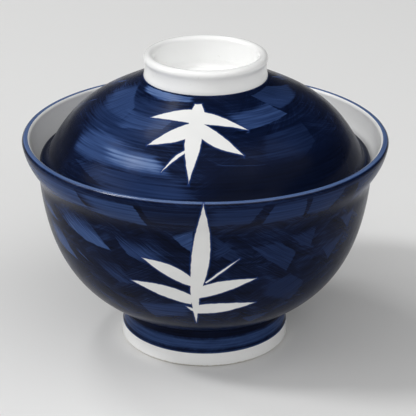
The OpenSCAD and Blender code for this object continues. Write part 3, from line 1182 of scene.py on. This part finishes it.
@dataclass
class Bowl:
    """The footed bowl: wall, foot ring and their blue coats, all on the body named bowl.

    Attributes:
        sizes: The frame's sizes.
        wall_t: Thickness of the wall under the flare, mm.
        lip_t: Thickness of the rounded lip, mm.
        floor_t: Thickness of the floor over the foot, mm.
        flare_h: Height of the flared band below the rim, mm.
        flare_out: How far the rim stands out past the wall, mm.
        foot_t: Thickness of the foot ring, mm.
    """

    sizes: Sizes
    wall_t: float = 2.8
    lip_t: float = 2.7
    floor_t: float = 4.0
    flare_h: float = 15.7
    flare_out: float = 5.7
    foot_t: float = 4.2

    def __post_init__(self) -> None:
        """Works out the radii and heights that the outlines share."""
        self.wall_r = self.sizes.rim_r - self.flare_out
        self.flare_z = self.sizes.rim_z - self.flare_h
        self.neck_r = self.sizes.foot_r - 0.8
        self.lip_r = self.lip_t / 2
        self.lip_centre = (self.sizes.rim_r - self.lip_r, self.sizes.rim_z - self.lip_r)

    def outside(self) -> list[Point]:
        """Outside line from the foot ring up and over the rim."""
        neck, foot = self.neck_r, self.sizes.foot_z
        wall, flare, rim = self.wall_r, self.flare_z, self.sizes.rim_r
        start, belly, lip_side = (neck, foot + 0.5), (neck + 0.6, foot + 2.3), (rim, self.lip_centre[1])
        return joined(
            line((neck, foot), start),
            bezier(start, (neck, foot + 1.5), (neck + 0.2, foot + 2), belly),
            bezier(belly, (wall - 8.7, foot + 11.2), (wall - 2, flare - 21.2), (wall, flare)),
            bezier((wall, flare), (wall + 0.6, flare + 5.6), (rim - 1.2, flare + 6.8), lip_side),
            arc(self.lip_centre, self.lip_r, 0, 120),
        )

    def inside(self) -> list[Point]:
        """Inside line from the lip's inner edge down to the middle of the floor."""
        rim, flare, inner = self.sizes.rim_r, self.flare_z, self.wall_r - self.wall_t
        seat_top, seat_low = (rim - self.lip_t, self.lip_centre[1]), (inner, flare - 0.5)
        floor_z = self.sizes.foot_z + self.floor_t
        return joined(
            bezier(seat_top, (rim - 4, flare + 6.2), (inner + 0.5, flare + 4.8), seat_low),
            bezier(seat_low, (inner - 2.3, flare - 24), (self.wall_r - 16, floor_z + 1.4), (0, floor_z)),
        )

    def foot_band(self) -> list[Point]:
        """Outside line of the foot's blue band, upwards."""
        low, top = self.sizes.band_z, self.sizes.foot_z
        return joined(
            bezier((self.sizes.foot_r - 0.3, low), (self.neck_r, low + 1.5), (self.neck_r - 0.2, top - 2),
                   (self.neck_r, top - 0.5)),
            line((self.neck_r, top - 0.5), (self.neck_r, top)),
        )

    def build_wall(self) -> Piece:
        """Turns the porcelain wall that lies under the blue coat and shows inside."""
        outside = self.outside()
        outline = joined(
            line((0, self.sizes.foot_z), shifted(outside, COAT_T)[0]),
            shifted(outside, COAT_T),
            arc(self.lip_centre, self.lip_r, 120, 180, 6),
            self.inside(),
        )
        wall = turn("bowl_wall", outline, closed=False)
        wall.data.materials.append(Porcelain("white_porcelain_bowl").material())
        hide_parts("bowl_body")
        return wall

    def build_foot(self) -> Piece:
        """Turns the foot ring with its bare bearing edge."""
        foot_r, inner_r = self.sizes.foot_r, self.sizes.foot_r - self.foot_t
        band = self.foot_band()
        under = shifted(band, COAT_T)
        outline = joined(
            line((inner_r + 0.9, 0), (foot_r - 0.9, 0)),
            arc((foot_r - 0.9, 0.9), 0.9, -90, 0),
            line((foot_r, 0.9), band[0]),
            under,
            line(under[-1], (inner_r - 0.8, self.sizes.foot_z)),
            line((inner_r - 0.8, self.sizes.foot_z), (inner_r, 0.9)),
            bezier((inner_r, 0.9), (inner_r, 0.4), (inner_r + 0.4, 0), (inner_r + 0.9, 0))[:-1],
        )
        foot = turn("foot_ring_turned", outline, closed=True)
        foot.data.materials.append(Porcelain("white_porcelain_foot", bare_below=0.7).material())
        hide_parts("foot_ring")
        return foot

    def build_coat(self) -> Piece:
        """Turns the blue coat of the bowl's outside."""
        coat = turn_coat("bowl_blue_glaze", self.outside(), COAT_T, BOWL_REFERENCE_R)
        end = CoatMap(self.outside(), 0, 1.0).lengths()[-2]
        paint = CobaltBrushwork(
            name="cobalt_brushwork_bowl",
            reference_r=BOWL_REFERENCE_R,
            strokes=(*BOWL_SCATTER.strokes(), *BOWL_FRONT_STROKES),
            bands=(
                Band(-2.0, 4.0, 1.2, 0.05, 0.8),
                Band(end - 4.6, end - 2.0, 0.6, 0.28, 0.6),
                # Pale line on the lip: partly thin cobalt where the glaze thins, partly a painted highlight
                # along the rim.
                Band(end - 2.0, end + 2.0, 0.6, 0.86, 0.95),
            ),
            spray=BOWL_SPRAY,
            ground=0.17,
            gloss_from=end - 2.1,
        )
        coat.data.materials.append(paint.material())
        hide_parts("bowl_blue_coat")
        return coat

    def build_foot_band(self) -> Piece:
        """Turns the foot's blue band."""
        band = turn_coat("foot_blue_glaze", self.foot_band(), COAT_T, BOWL_REFERENCE_R)
        end = CoatMap(self.foot_band(), 0, 1.0).lengths()[-2]
        paint = CobaltBrushwork(
            name="cobalt_brushwork_foot",
            reference_r=BOWL_REFERENCE_R,
            strokes=(),
            bands=(
                Band(-2.0, 0.6, 0.5, 0.75, 0.7),
                Band(0.5, 1.3, 0.4, 0.1, 0.7),
                Band(1.3, end - 1.4, 0.8, 0.62, 0.8),
                Band(end - 1.2, end + 2, 0.4, 0.05, 0.9),
            ),
            spray=None,
            ground=0.3,
        )
        band.data.materials.append(paint.material())
        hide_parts("foot_blue_band")
        return band

    def build(self) -> None:
        """Builds, dresses and mounts every piece of the bowl."""
        pieces = {
            "white_porcelain": (self.build_wall(), self.build_foot()),
            "blue_coat": (self.build_coat(), self.build_foot_band()),
        }
        mount(pieces, "bowl")


@dataclass
class Lid:
    """The domed lid: wall, grip ring and blue coat, all on the body named lid.

    Attributes:
        sizes: The frame's sizes.
        wall_t: Thickness of the wall under the recess, mm.
        edge_t: Thickness of the turned-out edge, mm.
        ring_t: Thickness of the grip ring's lip, mm.
        ring_sink: Depth of the recess's floor below the foot of the ring, mm.
    """

    sizes: Sizes
    wall_t: float = 3.0
    edge_t: float = 2.4
    ring_t: float = 3.4
    ring_sink: float = 2.4

    def __post_init__(self) -> None:
        """Works out the radii and heights that the outlines share."""
        self.edge_r = self.edge_t / 2
        self.edge_centre = (self.sizes.lid_r - self.edge_r, self.sizes.edge_low_z + self.edge_r)
        self.recess_r = self.sizes.ring_r - self.ring_t - 1

    def outside(self) -> list[Point]:
        """Outside line from the grip ring down to the edge."""
        ring, top = self.sizes.ring_r, self.sizes.dome_top_z
        lid, edge_z = self.sizes.lid_r, self.edge_centre[1]
        hollow = (lid - 3.4, edge_z + 3.4)
        return joined(
            bezier((ring - 0.1, top), (ring + 13, top - 7.8), (lid - 12.6, top - 8.7), hollow),
            bezier(hollow, (lid - 2.8, edge_z + 2), (lid - 2.5, edge_z + self.edge_r - 0.1),
                   (self.edge_centre[0], edge_z + self.edge_r)),
            arc(self.edge_centre, self.edge_r, 90, -20),
        )

    def build_wall(self) -> Piece:
        """Turns the porcelain wall, with the recess inside the ring and the hollow underneath."""
        outside = self.outside()
        top, lid = self.sizes.dome_top_z, self.sizes.lid_r
        recess_z = top - self.ring_sink
        under_z = recess_z - self.wall_t
        outline = joined(
            line((0, recess_z), (self.recess_r - 1.6, recess_z)),
            arc((self.recess_r - 1.6, recess_z + 1.6), 1.6, -90, -10),
            line((self.recess_r, recess_z + 1.6), (self.recess_r, top)),
            line((self.recess_r, top), outside[0]),
            shifted(outside, -COAT_T),
            arc(self.edge_centre, self.edge_r, -20, -90, 6),
            bezier((lid - 5.8, self.sizes.edge_low_z + 0.6), (lid - 13, top - 11.2),
                   (self.sizes.ring_r + 11, top - 10.6), (self.sizes.ring_r - 4, under_z - 0.4)),
            line((self.sizes.ring_r - 4, under_z - 0.4), (0, under_z)),
        )
        wall = turn("lid_wall", outline, closed=False)
        wall.data.materials.append(Porcelain("white_porcelain_lid").material())
        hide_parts("lid_dome")
        return wall

    def build_ring(self) -> Piece:
        """Turns the grip ring that stands on the dome."""
        ring, top = self.sizes.ring_r, self.sizes.dome_top_z
        lip_r = self.ring_t / 2
        lip = (ring - lip_r, self.sizes.ring_top_z - lip_r)
        start = math.radians(-20)
        lip_start = (lip[0] + lip_r * math.cos(start), lip[1] + lip_r * math.sin(start))
        outline = joined(
            line((self.recess_r, top), (ring - 0.1, top)),
            bezier((ring, top + 0.4), (ring - 0.6, top + 2.6), (ring - 0.6, top + 4.6), lip_start),
            arc(lip, lip_r, -20, 180, 20),
            line((lip[0] - lip_r, lip[1]), (self.recess_r, top))[:-1],
        )
        piece = turn("lid_grip_ring", outline, closed=True)
        piece.data.materials.append(Porcelain("white_porcelain_ring").material())
        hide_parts("lid_ring")
        return piece

    def build_coat(self) -> Piece:
        """Turns the blue coat of the dome."""
        outside = self.outside()
        coat = turn_coat("lid_blue_glaze", outside, -COAT_T, LID_REFERENCE_R)
        end = CoatMap(outside, 0, 1.0).lengths()[-2]
        paint = CobaltBrushwork(
            name="cobalt_brushwork_lid",
            reference_r=LID_REFERENCE_R,
            strokes=(*LID_SCATTER.strokes(), *LID_FRONT_STROKES),
            bands=(
                Band(-2.0, 0.5, 0.3, 0.45, 0.7),
                Band(end - 4.0, end + 2.0, 1.0, 0.2, 0.6),
            ),
            spray=LID_SPRAY,
            ground=0.18,
            weave=0.12,
        )
        coat.data.materials.append(paint.material())
        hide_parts("lid_blue_coat")
        return coat

    def build(self) -> None:
        """Builds, dresses and mounts every piece of the lid."""
        pieces = {
            "white_porcelain": (self.build_wall(), self.build_ring()),
            "blue_coat": (self.build_coat(),),
        }
        mount(pieces, "lid")


def mount(pieces: dict[str, tuple[Piece, ...]], body: str) -> None:
    """Makes pieces ride on their CAD body and logs each with its slot's name.

    Args:
        pieces: The pieces under each slot's name.
        body: The CAD body that they ride on.
    """
    for slot, members in pieces.items():
        for piece in members:
            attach(piece, body)
            log.info("%s: %d faces, on %s, slot %s", piece.name, len(piece.data.polygons), body, slot)


# ---------------------------------------------------------------- studio


@dataclass(frozen=True)
class Softbox:
    """A rectangular studio lamp aimed at the bowl.

    Attributes:
        name: Where the lamp hangs, the first part of its name.
        azimuth: Degrees round from the front, positive to the right.
        elevation: Degrees above the table.
        distance: Metres from the bowl.
        size: Width and height in metres.
        radiance: Brightness of its face.
    """

    name: str
    azimuth: float
    elevation: float
    distance: float
    size: Point
    radiance: float

    def place(self, aim: Vector) -> None:
        """Hangs the lamp.

        Args:
            aim: The point that it faces.
        """
        around, up = math.radians(self.azimuth), math.radians(self.elevation)
        away = Vector((math.sin(around) * math.cos(up), -math.cos(around) * math.cos(up), math.sin(up)))
        name = f"{self.name}_softbox"
        data = bpy.data.lights.new(name, "AREA")
        data.shape = "RECTANGLE"
        data.size, data.size_y = self.size
        data.energy = self.radiance * math.pi * self.size[0] * self.size[1]
        lamp = bpy.data.objects.new(name, data)
        facing = away.to_track_quat("Z", "Y").to_matrix().to_4x4()
        lamp.matrix_world = Matrix.Translation(aim + away * self.distance) @ facing
        bpy.context.scene.collection.objects.link(lamp)


@dataclass(frozen=True)
class Studio:
    """Table, room light, lamps and camera.

    Attributes:
        table_r: Radius of the round tabletop in metres.
        table_gap: How far the tabletop lies under the foot ring, mm.
        camera_y: How far in front of the bowl's axis the camera stands, metres.
        camera_z: Height of the camera above the table, metres.
        pitch: How far the camera looks down, degrees.
        roll: How far the camera leans, degrees.
        focal: Focal length in millimetres on a 36 mm sensor.
        shift: Sideways shift of the frame.
        bright_side: Direction of the brighter side of the room.
        dim_share: Brightness of the far side as a share of that.
        greys: Height in the room, from the horizon's 0 to 1 overhead, and its grey there.
        lamps: The softboxes.
    """

    table_r: float = 3.0
    table_gap: float = 0.05
    camera_y: float = 0.541
    camera_z: float = 0.282
    pitch: float = 23.4
    roll: float = 0.27
    focal: float = 142.8
    shift: float = 0.0072
    bright_side: tuple[float, float, float] = (-0.7, -0.7, 0.0)
    dim_share: float = 0.25
    greys: tuple[Point, ...] = ((0.0, 0.45), (0.1, 0.3), (0.5, 0.08), (0.7, 0.03), (1.0, 0.02))
    lamps: tuple[Softbox, ...] = (
        Softbox("key", azimuth=-78, elevation=50, distance=3.5, size=(0.62, 0.45), radiance=47.0),
        Softbox("rear_key", azimuth=-108, elevation=45, distance=3.5, size=(0.35, 0.42), radiance=10.0),
        Softbox("side", azimuth=-80, elevation=26, distance=3.0, size=(2.0, 0.8), radiance=3.0),
        Softbox("overhead", azimuth=0, elevation=68, distance=2.5, size=(2.9, 2.2), radiance=1.15),
        Softbox("kicker", azimuth=-132, elevation=64, distance=2.0, size=(0.45, 0.16), radiance=24.0),
        Softbox("front", azimuth=14, elevation=29, distance=2.2, size=(3.4, 0.7), radiance=1.8),
        Softbox("right", azimuth=75, elevation=50, distance=2.5, size=(2.0, 1.6), radiance=1.0),
    )

    def add_camera(self) -> None:
        """Stands the camera in front of the bowl."""
        data = bpy.data.cameras.new("camera")
        data.sensor_width = 36
        data.lens = self.focal
        data.shift_x = self.shift
        data.clip_start, data.clip_end = 0.01, 20
        camera = bpy.data.objects.new("camera", data)
        tilt = Matrix.Rotation(math.radians(90 - self.pitch), 4, "X")
        lean = Matrix.Rotation(math.radians(self.roll), 4, "Z")
        camera.matrix_world = Matrix.Translation((0, -self.camera_y, self.camera_z)) @ (tilt @ lean)
        bpy.context.scene.collection.objects.link(camera)
        bpy.context.scene.camera = camera

    def add_table(self) -> None:
        """Lays the tabletop just under the foot ring."""
        deselect_all()
        bpy.ops.mesh.primitive_circle_add(
            vertices=96, radius=self.table_r, fill_type="NGON", location=(0, 0, -self.table_gap * MM)
        )
        table = bpy.context.object
        table.name = "tabletop"
        bpy.ops.object.transform_apply(location=True, rotation=False, scale=False)
        table.data.materials.append(Tabletop().material())

    def add_room(self) -> None:
        """Gives the room a pale horizon, dimmer on the right and at the back, and a dark ceiling."""
        world = bpy.data.worlds.new("room")
        bpy.context.scene.world = world
        world.use_nodes = True
        desk = Desk(world.node_tree)
        background = world.node_tree.nodes["Background"]
        direction = desk.make("ShaderNodeTexCoord", {}).outputs["Generated"]
        _, _, height = desk.split(direction)
        greys = desk.ramp(height, tuple((up, (grey, grey, grey)) for up, grey in self.greys))
        desk.feed(background.inputs["Color"], greys)
        side = desk.vector("DOT_PRODUCT", direction, self.bright_side)
        desk.feed(background.inputs["Strength"], desk.spread(side, self.dim_share, 1.0, (-1.0, 1.0)))

    def build(self, aim: Vector) -> None:
        """Sets up the table, the room, the lamps and the camera.

        Args:
            aim: The point that the lamps face.
        """
        self.add_camera()
        self.add_table()
        self.add_room()
        for lamp in self.lamps:
            lamp.place(aim)
        bpy.context.scene.view_settings.view_transform = "Standard"


def main() -> None:
    """Builds the studio, the bowl and the lid."""
    logging.basicConfig(level=logging.INFO, format="%(name)s: %(message)s")
    low, high = CAD_BOX
    sizes = Sizes.from_frame()
    Studio().build((low + high) / 2)
    Bowl(sizes).build()
    Lid(sizes).build()
    deselect_all()


if __name__ == "__main__":
    main()
